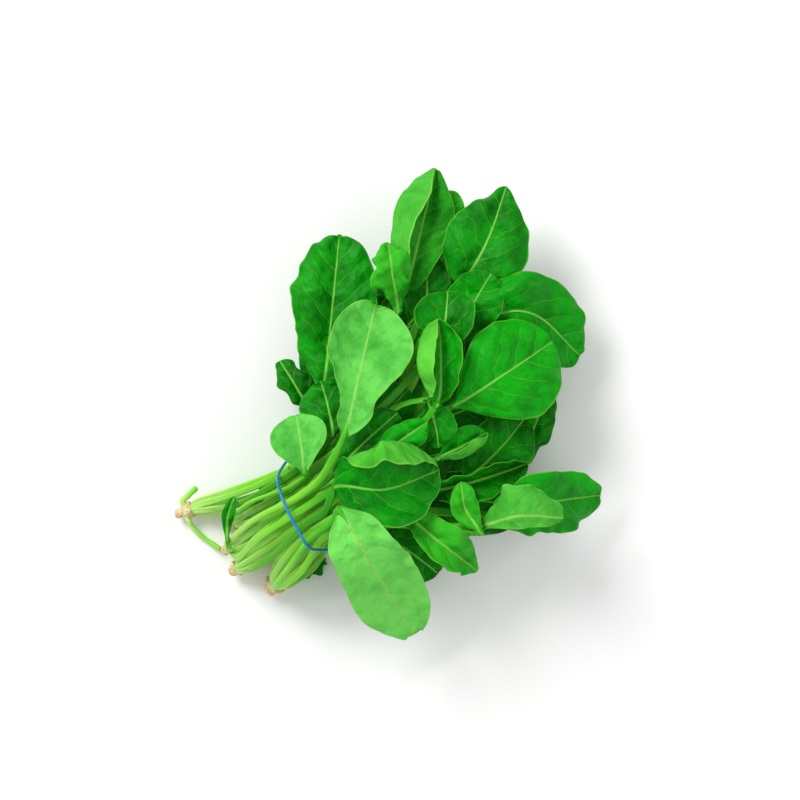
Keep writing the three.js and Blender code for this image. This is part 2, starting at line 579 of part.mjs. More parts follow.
// ---------------------------------------------------------------- the bunch
const bunch = new THREE.Group();

function add(name, geometry, color, roughness) {
  const mesh = new THREE.Mesh(geometry, new THREE.MeshStandardMaterial({ color, roughness, metalness: 0 }));
  mesh.name = name;
  bunch.add(mesh);
  return mesh;
}

const tied = LEAVES.filter((spec) => !spec.attach);
placeInNeck(tied);
placeAtCrowns(tied);

const crossings = [];
for (const spec of LEAVES) {
  const sections = leafSections(spec);
  layDown(sections, spec);
  if (spec.slot) crossings.push(...crossTie(sections));
  add(spec.name, leafGeometry(sections), spec.green, 0.45);
}

CROWNS.forEach((crown, i) => {
  const mesh = add(`root_crown_${i + 1}`, crownGeometry(crown), 0xc9b48f, 0.8);
  mesh.position.copy(crown.position);
  mesh.quaternion.setFromUnitVectors(new THREE.Vector3(0, 1, 0), crown.axis);
});

for (const [name, radius, points] of CUT_STEMS) {
  add(name, leafGeometry(stemSections(points, radius)), GREEN.pale, 0.5);
}

add("elastic_tie", tieGeometry(crossings), 0x1f6fb5, 0.35);

// The part's origin is under the middle of the bunch, on the ground.
const box = new THREE.Box3().setFromObject(bunch, true);
const centre = box.getCenter(new THREE.Vector3());
bunch.position.set(-centre.x, -centre.y, -box.min.z);

export default bunch;
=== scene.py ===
"""A bunch of arugula on a pale floor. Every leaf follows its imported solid: the solid's sections are read
back and drawn again as a thin blade with veins, a wavy margin and a grooved petiole. Metres, +Z up."""

import json
import math
import bpy
import bmesh
import numpy as np
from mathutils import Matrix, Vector


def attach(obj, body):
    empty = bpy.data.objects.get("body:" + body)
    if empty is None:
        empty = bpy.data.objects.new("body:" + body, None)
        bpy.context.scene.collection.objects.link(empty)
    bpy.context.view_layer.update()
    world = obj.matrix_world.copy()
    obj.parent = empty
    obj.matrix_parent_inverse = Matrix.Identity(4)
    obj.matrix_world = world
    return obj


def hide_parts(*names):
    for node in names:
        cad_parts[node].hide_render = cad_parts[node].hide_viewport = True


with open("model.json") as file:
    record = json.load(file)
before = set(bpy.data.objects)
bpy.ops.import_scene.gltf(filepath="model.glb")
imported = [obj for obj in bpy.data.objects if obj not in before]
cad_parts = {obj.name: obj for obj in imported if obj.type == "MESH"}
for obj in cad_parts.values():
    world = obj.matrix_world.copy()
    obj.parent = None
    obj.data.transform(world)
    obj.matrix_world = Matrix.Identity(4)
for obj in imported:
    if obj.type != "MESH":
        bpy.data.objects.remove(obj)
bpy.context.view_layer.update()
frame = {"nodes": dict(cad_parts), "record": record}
nodes = frame["nodes"]
slot_of = {part["node"]: part["material_slot"] for part in frame["record"]["subparts"]}
scene = bpy.context.scene

BLADE_THICKNESS = 0.00036
GROUND_REACH, GROUND_LOW, GROUND_HIGH = 0.0002, 0.0001, 0.0006
PETIOLE_LOW = 0.00002
BLADE_RINGS_FINE, BLADE_RINGS_COARSE = 10, 7  # sections of a leaf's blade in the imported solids
AROUND = 8  # corners of a section
VEINS_PER_METRE = 72  # side veins along each half of a blade
FLAT_SCALE = 20  # units of the layer "flat" to a metre
TWO_PI = 2 * math.pi


# ---------------------------------------------------------------- reading a leaf's sections back
def merged(node):
    """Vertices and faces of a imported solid, with coincident vertices joined."""
    mesh = node.data
    points = np.empty(len(mesh.vertices) * 3)
    mesh.vertices.foreach_get("co", points)
    points = points.reshape(-1, 3)
    keys, index = {}, []
    for p in points:
        key = tuple(np.round(p * 1e6).astype(int))
        index.append(keys.setdefault(key, len(keys)))
    joined = np.zeros((len(keys), 3))
    joined[index] = points
    faces = [[index[v] for v in poly.vertices] for poly in mesh.polygons]
    return joined, [f for f in faces if len(set(f)) == 3]


def neighbours_of(count, faces):
    linked = [set() for _ in range(count)]
    for a, b, c in faces:
        linked[a] |= {b, c}
        linked[b] |= {a, c}
        linked[c] |= {a, b}
    return linked


def sections_of(node):
    """The leaf's sections from its crown to its tip: an array (sections, 8, 3), and its apex. Corner 0 is the
    right edge, 1 to 3 the upper skin, 4 the left edge, 5 to 7 the lower skin."""
    points, faces = merged(node)
    linked = neighbours_of(len(points), faces)
    caps = [i for i, near in enumerate(linked) if len(near) == AROUND]
    along = np.array([0.84, 0.545, 0.0])  # from the crowns to the leaves
    start = min(caps, key=lambda i: points[i] @ along)
    after = {}
    for face in faces:
        if start in face:
            k = face.index(start)
            after[face[(k + 1) % 3]] = face[(k + 2) % 3]
    ring = [next(iter(after))]
    while len(ring) < AROUND:
        ring.append(after[ring[-1]])
    # Diagonals run towards the left edge on both skins, so that corner 0 has three neighbours in the next
    # section and corner 4 has one.
    seen = set(ring) | {start}
    first = max(range(AROUND), key=lambda j: len(linked[ring[j]] - seen))
    ring = [ring[(first + j) % AROUND] for j in range(AROUND)]
    rings = [ring]
    while True:
        ahead = [linked[v] - seen for v in ring]
        following = {4: set(ahead[4])}
        for j, beside in ((3, 4), (2, 3), (1, 2), (5, 4), (6, 5), (7, 6)):
            following[j] = ahead[j] - following[beside]
        following[0] = ahead[0] - following[1] - following[7]
        if not all(following.values()):
            break
        ring = [min(following[j]) for j in range(AROUND)]
        rings.append(ring)
        seen |= set(ring)
    apex = (set().union(*(linked[v] for v in ring)) - seen).pop()
    return points[np.array(rings)], points[apex]


def spline(values, t):
    """Catmull-Rom through values (n, ...) at float places t in 0..n-1."""
    n = len(values)
    padded = np.concatenate([[2 * values[0] - values[1]], values, [2 * values[-1] - values[-2]]])
    i = np.clip(np.floor(t).astype(int), 0, n - 2)
    f = (t - i).reshape((-1,) + (1,) * (values.ndim - 1))
    p0, p1, p2, p3 = padded[i], padded[i + 1], padded[i + 2], padded[i + 3]
    square = (2 * p0 - 5 * p1 + 4 * p2 - p3) * f ** 2
    cube = (3 * p1 - p0 - 3 * p2 + p3) * f ** 3
    return 0.5 * (2 * p1 + (p2 - p0) * f + square + cube)


crown_names = sorted(name for name in nodes if name.startswith("root_crown"))
CROWN_HUBS = [merged(nodes[name])[0].mean(axis=0) for name in crown_names]


def unit(v):
    return v / np.maximum(np.linalg.norm(v, axis=-1, keepdims=True), 1e-12)


# ---------------------------------------------------------------- a leaf's own shape
# Lobes and waves of single leaves: depth and number of lobes; ruffle of the margin, quilting between the
# veins and small creases, in metres; a notch at the tip; a waist (its place along the blade, its reach, and
# its depth on the left and on the right); and how light a green the leaf is.
STYLE = {
    "leaf_lobed_left": {"lobes": 0.34, "count": 3, "ruffle": 0.0016},
    "leaf_stem_ragged": {"lobes": 0.5, "count": 4, "ruffle": 0.001},
    "leaf_left_large": {"lobes": 0.07, "count": 3.5, "ruffle": 0.0022, "tone": 0.25},
    "leaf_right_shadow": {"lobes": 0.12, "count": 3, "ruffle": 0.0022},
    "leaf_crinkled": {"lobes": 0.14, "count": 3, "ruffle": 0.0024, "quilt": 0.0006, "crumple": 0.0011},
    "leaf_front_pale": {"lobes": 0.05, "count": 2.5, "ruffle": 0.0012, "notch": 0.05, "tone": 1.0},
    "leaf_centre_pale": {"lobes": 0.07, "count": 2.5, "ruffle": 0.0018, "waist": (0.26, 0.21, 0.42, 0.62),
                         "tone": 0.0},
    "leaf_top_folded": {"lobes": 0.08, "count": 2, "ruffle": 0.0015, "tone": 0.0},
    "leaf_top_right": {"tone": 0.1},
    "leaf_big_round": {"lobes": 0.02, "count": 2, "ruffle": 0.0008, "tone": 1.0},
    "leaf_right_dome": {"lobes": 0.09, "count": 3, "ruffle": 0.0022},
    "leaf_right_end": {"lobes": 0.1, "count": 2.6, "ruffle": 0.002},
    "leaf_neck_pale": {"lobes": 0.07, "count": 2.2, "ruffle": 0.0014, "waist": (0.3, 0.15, 0.3, 0.0),
                       "tone": 0.0},
    "leaf_front_folded": {"lobes": 0.12, "count": 2.6, "ruffle": 0.0014},
    "leaf_cupped": {"lobes": 0.06, "count": 2.5, "ruffle": 0.001, "tone": 0.7},
}
PLAIN = {"lobes": 0.04, "count": 1.8, "ruffle": 0.0016, "notch": 0.0, "quilt": 0.0003, "crumple": 0.0003,
         "waist": (0.3, 0.12, 0.0, 0.0)}


def waves(phase, x, kinds):
    """A sum of sines of unlike lengths, about -1 to 1, at places x."""
    parts = [np.sin(x * (1.7 + k * 1.31) + phase * (2.1 + k * 3.7)) / math.sqrt(k + 1) for k in range(kinds)]
    return sum(parts) / kinds


def grid_faces(rows, columns, offset=0, closed=False, flip=False):
    faces = []
    across = columns if closed else columns - 1
    for i in range(rows - 1):
        for j in range(across):
            a, b = offset + i * columns + j, offset + i * columns + (j + 1) % columns
            quad = (a, a + columns, b + columns, b)
            faces.append(quad[::-1] if flip else quad)
    return faces


def green_piece(name, verts, faces, layers, tone, kinds, materials):
    """An object of the mesh, with its layers "flat" and "share", its tone, and each face's material."""
    mesh = bpy.data.meshes.new(name)
    mesh.from_pydata(verts.tolist(), [], faces)
    loops = np.empty(len(mesh.loops), dtype=int)
    mesh.loops.foreach_get("vertex_index", loops)
    for layer, values in zip(("flat", "share"), layers):
        mesh.uv_layers.new(name=layer).data.foreach_set("uv", values[loops].astype(np.float32).ravel())
    mesh.polygons.foreach_set("material_index", kinds)
    mesh.polygons.foreach_set("use_smooth", [True] * len(faces))
    tones = mesh.attributes.new("tone", "FLOAT", "POINT")
    tones.data.foreach_set("value", np.full(len(verts), tone, dtype=np.float32))
    clean = bmesh.new()
    clean.from_mesh(mesh)
    bmesh.ops.recalc_face_normals(clean, faces=clean.faces)
    clean.to_mesh(mesh)
    clean.free()
    for material in materials:
        mesh.materials.append(material)
    piece = bpy.data.objects.new(name, mesh)
    scene.collection.objects.link(piece)
    return piece


def leaf_piece(name, number):
    """One leaf: a thin blade with an upper and a lower skin, and the petiole that runs on as its midrib."""
    rings, apex = sections_of(nodes[name])
    count = len(rings)
    in_blade = {17: BLADE_RINGS_FINE, 14: BLADE_RINGS_COARSE, 10: BLADE_RINGS_COARSE}[count]
    base = count - in_blade
    fine = in_blade == BLADE_RINGS_FINE
    style = {**PLAIN, "tone": (number * 0.377) % 1.0, **STYLE.get(name, {})}
    # painted shade: leaves inside the bunch and on the ground get a low tone, so a darker green
    if "_ground_" in name or "_inner_" in name:
        style["tone"] = 0.1
    phase = number * 1.618
    upper = rings[:, [4, 3, 2, 1, 0]]  # left edge to right edge
    lower = rings[:, [4, 5, 6, 7, 0]]
    tip = np.repeat(apex[None, None], 5, axis=1)
    skin = np.concatenate([upper, tip])  # (count + 1, 5, 3)

    # the blade
    rows, columns = (72, 37) if fine else (40, 21)
    last = count  # index of the apex
    share = np.linspace(0, 1, rows)
    t = base + (last - base) * (1 - (1 - share) ** 1.25)
    cage = spline(skin, t)  # (rows, 5, 3)
    v = np.sin(np.linspace(-1, 1, columns) * math.pi / 2 * 0.86) / math.sin(math.pi / 2 * 0.86)
    u = (t - base) / (last - base)
    grown = np.clip(u / 0.25, 0, 1) * np.clip((1 - u) / 0.1, 0, 1)
    scale = np.empty((rows, 2))
    waist_at, waist_reach, *waist_depth = style["waist"]
    for hand in (0, 1):
        lobes = np.cos(2 * math.pi * style["count"] * u + phase + hand * 2.2) * 0.5 - 0.35
        fray = waves(phase + hand * 5, u * 11, 3) * 0.022
        scale[:, hand] = 1 + grown * (style["lobes"] * lobes + fray)
        scale[:, hand] *= 1 - waist_depth[hand] * np.exp(-((u - waist_at) / waist_reach) ** 2)
    flat_v = np.where(v[None] < 0, v[None] * scale[:, :1], v[None] * scale[:, 1:])  # (rows, columns)
    inside = np.clip(flat_v, -1, 1)
    place = (inside + 1) * 2
    surface = np.empty((rows, columns, 3))
    for i in range(rows):
        surface[i] = spline(cage[i], place[i])
    beyond = (flat_v - inside)[..., None]
    edge_run = np.where(beyond < 0, (cage[:, :1] - cage[:, 1:2]) * -2, (cage[:, 4:] - cage[:, 3:4]) * 2)
    surface = surface + beyond * edge_run

    du = np.gradient(surface, axis=0)
    dv = np.gradient(surface, axis=1)
    normal = unit(np.cross(dv, du))
    centre = columns // 2
    midway = base + in_blade // 2
    if np.sum(normal[rows // 2, centre] * (upper[midway, 2] - lower[midway, 2])) < 0:
        normal = -normal
    steps_a = np.linalg.norm(np.diff(surface[:, centre], axis=0), axis=-1)
    along = np.concatenate([[0], np.cumsum(steps_a)])
    steps_b = np.linalg.norm(np.diff(surface, axis=1), axis=-1)
    across = np.concatenate([np.zeros((rows, 1)), np.cumsum(steps_b, axis=1)], axis=1)
    across = across - across[:, centre:centre + 1]  # signed distance from the midrib
    half = np.maximum(np.where(across < 0, -across[:, :1], across[:, -1:]), 1e-6)
    norm = across / half

    # ruffled margin, quilting between the side veins, and a trough along the midrib
    run_in = along[:, None]
    wave = waves(phase, run_in * 130 + np.sign(across) * 1.3, 3)
    wave = wave + 0.2 * waves(phase + 9, run_in * 300 + across * 60, 2)
    ruffle = style["ruffle"] * (np.abs(norm) ** 2.4) * wave * np.clip(half / 0.008, 0, 1) * 1.5
    beat = (run_in - np.abs(across) * 0.85 - across ** 2 * 8) * VEINS_PER_METRE + (across > 0) * 0.5
    vein = np.abs(beat % 1 - 0.5) * 2
    off_midrib = np.clip(np.abs(across) / 0.004, 0, 1)
    off_margin = np.clip((1 - np.abs(norm)) * 5, 0, 1)
    quilt = style["quilt"] * (1 - vein ** 2) * off_midrib * off_margin
    creases = waves(phase + 4, run_in * 190 + across * 110, 3)
    creases = creases * waves(phase + 7, across * 260 - run_in * 60, 2)
    quilt = quilt + style["crumple"] * 3 * creases * np.clip(u[:, None] * 5, 0, 1)
    trough = -0.0004 * np.exp(-(across / 0.0022) ** 2) * np.clip(u[:, None] * 6, 0, 1)
    surface = surface + normal * (ruffle + quilt + trough)[..., None]
    if style["notch"]:
        near_tip = np.clip((u[:, None] - 0.86) / 0.14, 0, 1)
        pull = style["notch"] * along[-1] * np.exp(-(across / 0.004) ** 2) * near_tip
        surface = surface - unit(du) * pull[..., None]

    thick = BLADE_THICKNESS * (1 - 0.45 * np.abs(norm) ** 4)[..., None]
    top = surface.copy()
    bottom = surface - normal * thick * 1.6
    # a blade on the ground stays on it, its lower skin at GROUND_LOW and its upper skin at GROUND_HIGH
    lies = np.minimum(top[..., 2], bottom[..., 2]) < GROUND_REACH
    faces_up = normal[..., 2] >= 0
    for blade_side, lowest in ((top, np.where(faces_up, GROUND_HIGH, GROUND_LOW)),
                               (bottom, np.where(faces_up, GROUND_LOW, GROUND_HIGH))):
        raised = np.maximum(blade_side[..., 2], lowest)
        blade_side[..., 2] = np.where(lies, raised, blade_side[..., 2])
    verts = np.concatenate([top.reshape(-1, 3), bottom.reshape(-1, 3)])
    size = rows * columns
    faces = grid_faces(rows, columns, 0) + grid_faces(rows, columns, size, flip=True)
    kinds = [0] * (len(faces) // 2) + [1] * (len(faces) // 2)
    rim = []
    border = [i * columns for i in range(rows)] + [(rows - 1) * columns + j for j in range(1, columns)]
    border += [i * columns + columns - 1 for i in range(rows - 2, -1, -1)] + list(range(columns - 2, 0, -1))
    for a, b in zip(border, border[1:] + border[:1]):
        rim.append((b, a, a + size, b + size))
    faces += rim
    kinds += [0] * len(rim)
    flat_uv = np.stack([run_in.repeat(columns, 1) * FLAT_SCALE, across * FLAT_SCALE], -1).reshape(-1, 2)
    norm_uv = np.stack([u[:, None].repeat(columns, 1), norm], -1).reshape(-1, 2)
    flat_uv, norm_uv = np.concatenate([flat_uv] * 2), np.concatenate([norm_uv] * 2)

    # the petiole, from inside its crown to the blade, where it runs on as the midrib
    stem_rows, sides = (46 if fine else 34) + base * 2, 12
    petiole_t = np.linspace(0, base, base * 4, endpoint=False)
    stem_t = np.concatenate([petiole_t, np.linspace(base, last - 0.6, stem_rows - base * 4)])
    core_top, core_low = spline(skin[:, 2], stem_t), spline(np.concatenate([lower[:, 2], apex[None]]), stem_t)
    left, right = spline(skin[:, 0], stem_t), spline(skin[:, 4], stem_t)
    rib_up = unit(core_top - core_low)
    run = unit(np.gradient(core_top, axis=0))
    rib_side = unit(np.cross(run, rib_up))
    rib_up = unit(np.cross(rib_side, run))
    petiole_half = np.linalg.norm(rings[max(base - 1, 1), 0] - rings[max(base - 1, 1), 4]) / 2
    narrow = np.linalg.norm(right - left, axis=-1) / 2
    into = np.clip((stem_t - base) / (last - base), 0, 1)
    rib_half = petiole_half * (0.36 * (1 - into) ** 1.7 + 0.06)
    blend = np.clip((stem_t - (base - 0.6)) / 1.3, 0, 1)
    half_width = narrow * (1 - blend) + np.minimum(narrow, rib_half) * blend
    near_crown = np.clip(1 - stem_t / 2.2, 0, 1)
    half_width = half_width * (1 + 0.35 * near_crown)
    half_height = half_width * (0.72 - 0.1 * near_crown)
    sunk = core_top - rib_up * (half_height * 0.72)[:, None]
    centre_line = (core_top + core_low) / 2 * (1 - blend)[:, None] + sunk * blend[:, None]
    if base > 3:  # a petiole of the bunch closes in on its crown
        hub = min(CROWN_HUBS, key=lambda c: np.linalg.norm(c - centre_line[0]))
        pull = np.clip(1 - stem_t / 0.5, 0, 1) ** 2 * 0.75
        centre_line = centre_line + (hub - centre_line) * pull[:, None]
    angles = np.arange(sides) / sides * TWO_PI
    shape_x, shape_y = np.cos(angles), np.sin(angles)
    shape_y = np.where(shape_y > 0, shape_y * (0.62 - 0.28 * np.exp(-(shape_x / 0.45) ** 2)), shape_y)
    ridged = 1 + 0.05 * np.cos(5 * angles[None] + phase)
    tube = (centre_line[:, None] + rib_side[:, None] * (half_width[:, None] * shape_x * ridged)[..., None]
            + rib_up[:, None] * (half_height[:, None] * shape_y * ridged)[..., None])
    tube[..., 2] = np.maximum(tube[..., 2], PETIOLE_LOW)
    first = centre_line[0] - run[0] * 0.001
    start = len(verts)
    tube_length = np.concatenate([[0], np.cumsum(np.linalg.norm(np.diff(centre_line, axis=0), axis=-1))])
    verts = np.concatenate([verts, tube.reshape(-1, 3), [first, centre_line[-1] + run[-1] * 0.0004]])
    stem_faces = grid_faces(len(stem_t), sides, start, closed=True)
    end = start + len(stem_t) * sides
    for j in range(sides):
        k = (j + 1) % sides
        stem_faces.append((end, start + j, start + k))
        stem_faces.append((end + 1, end - sides + k, end - sides + j))
    faces += stem_faces
    kinds += [2] * len(stem_faces)
    whole = tube_length[np.searchsorted(stem_t, base) - 1]
    stem_u = (tube_length / max(whole, 1e-6))[:, None].repeat(sides, 1)
    turn = (angles / TWO_PI)[None].repeat(len(stem_t), 0)
    stem_uv = np.stack([tube_length[:, None].repeat(sides, 1) * FLAT_SCALE, turn], -1).reshape(-1, 2)
    stem_norm = np.stack([stem_u, into[:, None].repeat(sides, 1)], -1).reshape(-1, 2)
    flat_uv = np.concatenate([flat_uv, stem_uv, [[0, 0], [tube_length[-1] * FLAT_SCALE, 0]]])
    norm_uv = np.concatenate([norm_uv, stem_norm, [[0, 0], [stem_u[-1, 0], 1]]])

    materials = [TOPS[slot_of[name]], UNDERS[slot_of[name]], PETIOLE]
    return green_piece(name + "_leaf", verts, faces, (flat_uv, norm_uv), style["tone"], kinds, materials)


# ---------------------------------------------------------------- materials
class Nodes:
    """A short way to write a material's node tree."""

    def __init__(self, name):
        self.material = bpy.data.materials.new(name)
        self.material.use_nodes = True
        self.tree = self.material.node_tree
        self.shader = self.tree.nodes["Principled BSDF"]

    def put(self, target, value):
        if isinstance(value, bpy.types.NodeSocket):
            self.tree.links.new(value, target)
        elif value is not None:
            target.default_value = value

    def add(self, kind, inputs=(), output=0, **settings):
        node = self.tree.nodes.new(kind)
        for key, value in settings.items():
            setattr(node, key, value)
        for key, value in dict(inputs).items():
            self.put(node.inputs[key], value)
        return node.outputs[output]

    def math(self, operation, a, b=None, c=None):
        return self.add("ShaderNodeMath", {0: a, 1: b, 2: c}, operation=operation)

    def ramp(self, value, low, high, to_low=0.0, to_high=1.0):
        return self.add("ShaderNodeMapRange", {0: value, 1: low, 2: high, 3: to_low, 4: to_high},
                        interpolation_type="SMOOTHSTEP")

    def mix(self, share, a, b, blend="MIX"):
        node = self.tree.nodes.new("ShaderNodeMix")
        node.data_type, node.blend_type = "RGBA", blend
        self.put(node.inputs[0], share)
        self.put(node.inputs[6], a)
        self.put(node.inputs[7], b)
        return node.outputs[2]

    def uv(self, layer):
        node = self.tree.nodes.new("ShaderNodeUVMap")
        node.uv_map = layer
        split = self.tree.nodes.new("ShaderNodeSeparateXYZ")
        self.tree.links.new(node.outputs[0], split.inputs[0])
        return node.outputs[0], split.outputs[0], split.outputs[1]

    def bump(self, height, strength, distance, under=None):
        inputs = {"Height": height, "Strength": strength, "Distance": distance, "Normal": under}
        return self.add("ShaderNodeBump", inputs)

    def tone(self):
        return self.add("ShaderNodeAttribute", attribute_name="tone", output=2)


def colour(r, g, b):
    """A colour given as screen values from 0 to 255, made linear."""
    shares = (r / 255, g / 255, b / 255)
    return (*[c / 12.92 if c <= 0.04045 else ((c + 0.055) / 1.055) ** 2.4 for c in shares], 1.0)


def blade_material(name, base, second, rib, margin, rough, vein_depth):
    """A leaf skin: two greens in broad blotches, partly the leaf's own mottling and partly painted shade and
    light, a midrib, arched side veins, a fine net and a pale margin.
    """
    n = Nodes(name)
    flat, a, b = n.uv("flat")
    _, u, norm = n.uv("share")
    off = n.math("ABSOLUTE", b)
    edge = n.math("ABSOLUTE", norm)
    wobble = n.add("ShaderNodeTexNoise", {"Vector": flat, "Scale": 4.5, "Detail": 3.0})
    drift = n.math("MULTIPLY_ADD", wobble, 0.2, -0.1)
    # side veins leave the midrib in steps and arch towards the tip; the two sides alternate
    reach = n.math("SUBTRACT", n.math("ADD", a, drift), n.math("MULTIPLY", off, 0.85))
    reach = n.math("MULTIPLY_ADD", n.math("MULTIPLY", off, off), -0.4, reach)
    side = n.math("MULTIPLY", n.math("GREATER_THAN", b, 0.0), 0.5)
    beat = n.math("FRACT", n.math("MULTIPLY_ADD", reach, 3.6, side))
    away = n.math("ABSOLUTE", n.math("SUBTRACT", beat, 0.5))
    away = n.math("SUBTRACT", 0.5, away)
    thin = n.math("MULTIPLY_ADD", edge, -0.016, 0.03)
    veins = n.math("SUBTRACT", 1.0, n.ramp(n.math("DIVIDE", away, thin), 0.15, 1.2))
    veins = n.math("MULTIPLY", veins, n.ramp(edge, 0.97, 0.55))
    rib_width = n.math("MULTIPLY_ADD", u, -0.018, 0.026)
    midrib = n.math("SUBTRACT", 1.0, n.ramp(n.math("DIVIDE", off, rib_width), 0.35, 1.0))
    net = n.add("ShaderNodeTexVoronoi", {"Vector": flat, "Scale": 17.0}, feature="DISTANCE_TO_EDGE")
    net_line = n.math("SUBTRACT", 1.0, n.ramp(net, 0.0, 0.09))
    rim = n.ramp(n.math("ADD", edge, n.math("MULTIPLY", drift, 0.12)), 0.962, 0.992)
    # painted shade and light: broad noise and the leaf's tone blend the darker and lighter greens into
    # blotches, partly the leaf's own mottling
    broad = n.add("ShaderNodeTexNoise", {"Vector": flat, "Scale": 2.2, "Detail": 4.0, "Roughness": 0.6})
    shade = n.math("MULTIPLY_ADD", n.ramp(broad, 0.36, 0.64), 0.6, n.math("MULTIPLY", n.tone(), 0.6))
    green = n.mix(shade, base, second)
    green = n.mix(n.math("MULTIPLY", net_line, 0.06), green, rib)
    green = n.mix(n.math("MULTIPLY", veins, 0.34), green, rib)
    green = n.mix(n.math("MULTIPLY", midrib, 0.75), green, rib)
    green = n.mix(n.math("MULTIPLY", rim, 0.7), green, margin)
    n.put(n.shader.inputs["Base Color"], green)
    speckle = n.add("ShaderNodeTexNoise", {"Vector": flat, "Scale": 40.0, "Detail": 2.0})
    n.put(n.shader.inputs["Roughness"], n.math("MULTIPLY_ADD", speckle, 0.22, rough))
    lines = n.math("MAXIMUM", veins, n.math("MULTIPLY", net_line, 0.35))
    height = n.math("MULTIPLY_ADD", lines, vein_depth, n.math("MULTIPLY", speckle, 0.15))
    pucker = n.add("ShaderNodeTexNoise",
                   {"Vector": flat, "Scale": 3.6, "Detail": 2.0, "Roughness": 0.4, "Distortion": 0.4})
    inner = n.math("MULTIPLY", n.ramp(edge, 1.0, 0.7), 0.45)
    swell = n.math("MULTIPLY", n.math("SUBTRACT", away, 0.25), inner)
    body = n.bump(n.math("ADD", pucker, swell), 0.75, 0.0058)
    n.put(n.shader.inputs["Normal"], n.bump(height, 0.5, 0.0004, body))
    n.shader.inputs["Specular IOR Level"].default_value = 0.1
    return n.material


def petiole_material(name):
    """Whitish at the crown, lime along the petiole, pale green as a midrib; fine ridges run along it."""
    n = Nodes(name)
    flat, a, b = n.uv("flat")
    _, share, into = n.uv("share")
    noise = n.add("ShaderNodeTexNoise", {"Vector": flat, "Scale": 3.0, "Detail": 3.0})
    place = n.math("MULTIPLY_ADD", noise, 0.5, n.math("MULTIPLY_ADD", n.tone(), 0.2, share))
    low = n.mix(n.ramp(place, 0.2, 0.75), colour(206, 242, 140), colour(138, 224, 62))
    green = n.mix(n.ramp(place, 0.7, 1.4), low, colour(58, 174, 20))
    deep = n.ramp(n.math("FRACT", n.math("MULTIPLY", n.tone(), 5.0)), 0.45, 1.0)
    deep = n.math("MULTIPLY", deep, n.math("MULTIPLY", n.ramp(place, 0.25, 0.7), 0.65))
    green = n.mix(deep, green, colour(20, 134, 8))
    green = n.mix(n.ramp(into, 0.0, 0.22), green, colour(122, 206, 78))
    drawn = n.add("ShaderNodeCombineXYZ", {0: n.math("MULTIPLY", a, 0.6), 1: n.math("MULTIPLY", b, 16.0)})
    ridges = n.add("ShaderNodeTexNoise", {"Vector": drawn, "Scale": 1.5, "Detail": 2.0})
    green = n.mix(n.math("MULTIPLY", n.ramp(ridges, 0.45, 0.75), 0.4), green, colour(86, 170, 44))
    n.put(n.shader.inputs["Base Color"], green)
    n.put(n.shader.inputs["Roughness"], n.math("MULTIPLY_ADD", noise, 0.2, 0.3))
    n.put(n.shader.inputs["Normal"], n.bump(ridges, 0.4, 0.0006))
    n.shader.inputs["Specular IOR Level"].default_value = 0.2
    return n.material


def crown_material(name):
    n = Nodes(name)
    at = n.add("ShaderNodeTexCoord", output=3)
    big = n.add("ShaderNodeTexNoise", {"Vector": at, "Scale": 260.0, "Detail": 4.0})
    small = n.add("ShaderNodeTexNoise", {"Vector": at, "Scale": 1100.0, "Detail": 3.0})
    tan = n.mix(n.ramp(big, 0.35, 0.65), colour(214, 178, 132), colour(232, 222, 170))
    n.put(n.shader.inputs["Base Color"], n.mix(n.ramp(small, 0.55, 0.75), tan, colour(140, 92, 62)))
    n.put(n.shader.inputs["Roughness"], n.math("MULTIPLY_ADD", small, 0.25, 0.6))
    n.put(n.shader.inputs["Normal"], n.bump(big, 0.6, 0.0008))
    return n.material


def tie_material(name):
    n = Nodes(name)
    at = n.add("ShaderNodeTexCoord", output=3)
    dust = n.add("ShaderNodeTexNoise", {"Vector": at, "Scale": 900.0, "Detail": 3.0})
    blue = n.mix(n.ramp(dust, 0.3, 0.7), colour(0, 106, 168), colour(0, 138, 204))
    n.put(n.shader.inputs["Base Color"], blue)
    n.put(n.shader.inputs["Roughness"], n.math("MULTIPLY_ADD", dust, 0.2, 0.3))
    n.put(n.shader.inputs["Normal"], n.bump(dust, 0.2, 0.0002))
    return n.material


def floor_material(name):
    n = Nodes(name)
    at = n.add("ShaderNodeTexCoord", output=3)
    soft = n.add("ShaderNodeTexNoise", {"Vector": at, "Scale": 5.0, "Detail": 2.0})
    n.put(n.shader.inputs["Base Color"], n.mix(soft, colour(246, 246, 245), colour(252, 252, 252)))
    n.shader.inputs["Roughness"].default_value = 0.85
    return n.material


# Each slot's first green, second green, margin and roughness, on the upper skin and on the underside. Broad
# noise and the leaf's tone blend the first and second greens, partly as painted shade and light.
TOP_GREENS = {
    "leaf_dark": ((0, 84, 0), (0, 150, 8), (96, 180, 44), 0.34),
    "leaf_mid": ((0, 104, 6), (6, 160, 12), (110, 190, 52), 0.34),
    "leaf_bright": ((14, 132, 14), (48, 176, 30), (120, 196, 60), 0.4),
    "leaf_underside": ((4, 114, 8), (20, 156, 18), (120, 194, 60), 0.38),
}
UNDER_GREENS = {
    "leaf_dark": ((24, 130, 16), (52, 166, 34), (120, 194, 70), 0.58),
    "leaf_mid": ((42, 154, 28), (92, 198, 58), (130, 200, 76), 0.58),
    "leaf_bright": ((52, 158, 38), (84, 192, 62), (140, 206, 84), 0.58),
    "leaf_underside": ((66, 170, 56), (116, 222, 92), (140, 208, 90), 0.58),
}


def skins(greens, rib, side, vein_depth):
    made = {}
    for slot, (base, second, margin, rough) in greens.items():
        colours = colour(*base), colour(*second), rib, colour(*margin)
        made[slot] = blade_material(f"{slot}_{side}", *colours, rough, vein_depth)
    return made


TOPS = skins(TOP_GREENS, colour(120, 200, 60), "top", 0.8)
UNDERS = skins(UNDER_GREENS, colour(148, 212, 96), "under", -1.0)
PETIOLE = petiole_material("petiole")
CROWN = crown_material("root_crown")
TIE = tie_material("tie")


